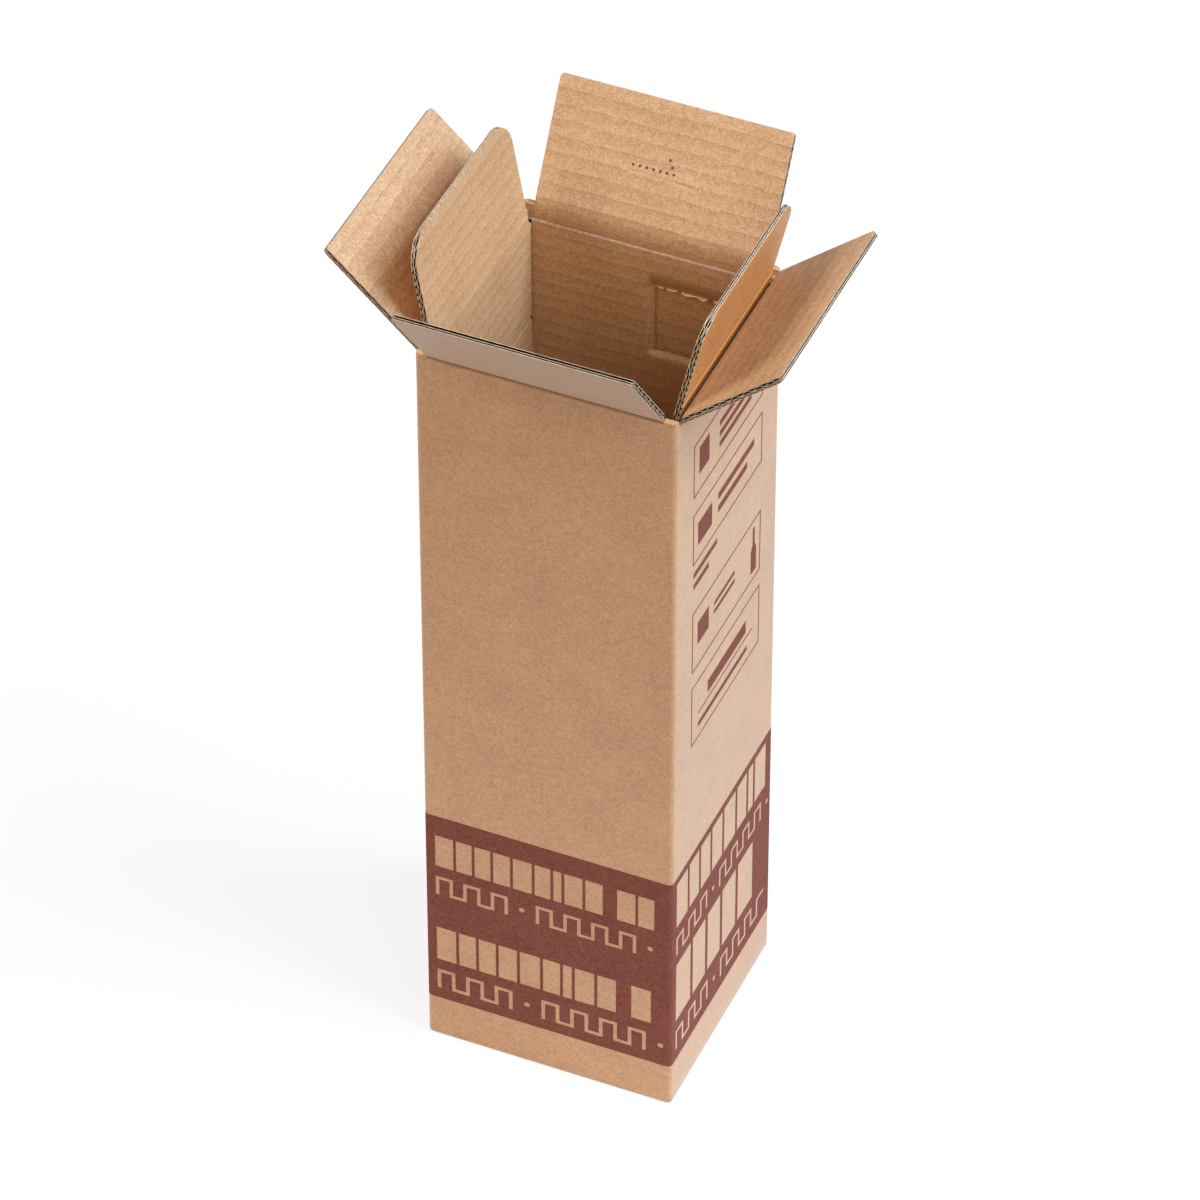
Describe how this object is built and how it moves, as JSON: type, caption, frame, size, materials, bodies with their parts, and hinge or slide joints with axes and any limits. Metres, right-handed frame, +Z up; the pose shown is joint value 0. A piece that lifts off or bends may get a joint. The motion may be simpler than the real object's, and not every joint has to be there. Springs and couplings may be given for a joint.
{
  "type": "bottle shipping box",
  "caption": "Tall square corrugated carton that ships a bottle, with a lining insert, inner flaps and hinged closing flaps standing open.",
  "frame": {"origin": "middle of the underside of the closed base", "axes": "+Z up along the box's height, front face towards -Y, right face towards +X"},
  "size_m": [0.2164, 0.1842, 0.4663],
  "materials": {
    "carton_board": "matt brown kraft facing with faint washboard lines",
    "insert_board": "matt brown kraft facing with faint washboard lines",
    "print": "matt maroon ink, standing in for the print on the board"
  },
  "bodies": {
    "box": {"carton_body": "carton_board", "insert_sleeve": "insert_board", "printed_band": "print", "printed_marks": "print"},
    "front_flap": {"carton_front_flap": "carton_board"},
    "back_flap": {"carton_back_flap": "carton_board"},
    "left_flap": {"carton_left_flap": "carton_board"},
    "right_flap": {"carton_right_flap": "carton_board"},
    "insert_left": {"insert_left_flap": "insert_board"},
    "insert_right": {"insert_right_flap": "insert_board"}
  },
  "joints": [
    {"name": "front_flap_fold", "type": "hinge", "parent": "box", "child": "front_flap", "pos_m": [0, -0.0595, 0.4135], "axis": [-1, 0, 0], "range_deg": [-123, 127]},
    {"name": "back_flap_fold", "type": "hinge", "parent": "box", "child": "back_flap", "pos_m": [0, 0.0595, 0.4135], "axis": [1, 0, 0], "range_deg": [-130, 120]},
    {"name": "left_flap_fold", "type": "hinge", "parent": "box", "child": "left_flap", "pos_m": [-0.062, 0, 0.4102], "axis": [0, 1, 0], "range_deg": [-37, 137]},
    {"name": "right_flap_fold", "type": "hinge", "parent": "box", "child": "right_flap", "pos_m": [0.062, 0, 0.4102], "axis": [0, -1, 0], "range_deg": [-34, 140]},
    {"name": "insert_left_fold", "type": "hinge", "parent": "box", "child": "insert_left", "pos_m": [-0.0588, 0, 0.4069], "axis": [0, 1, 0], "range_deg": [-27.51, 100.01]},
    {"name": "insert_right_fold", "type": "hinge", "parent": "box", "child": "insert_right", "pos_m": [0.0588, 0, 0.4069], "axis": [0, -1, 0], "range_deg": [-25.51, 103.01]}
  ],
  "couplings": [
    {"joint": "insert_left_fold", "follows": "left_flap_fold", "ratio": 0.72993},
    {"joint": "insert_right_fold", "follows": "right_flap_fold", "ratio": 0.73571}
  ]
}
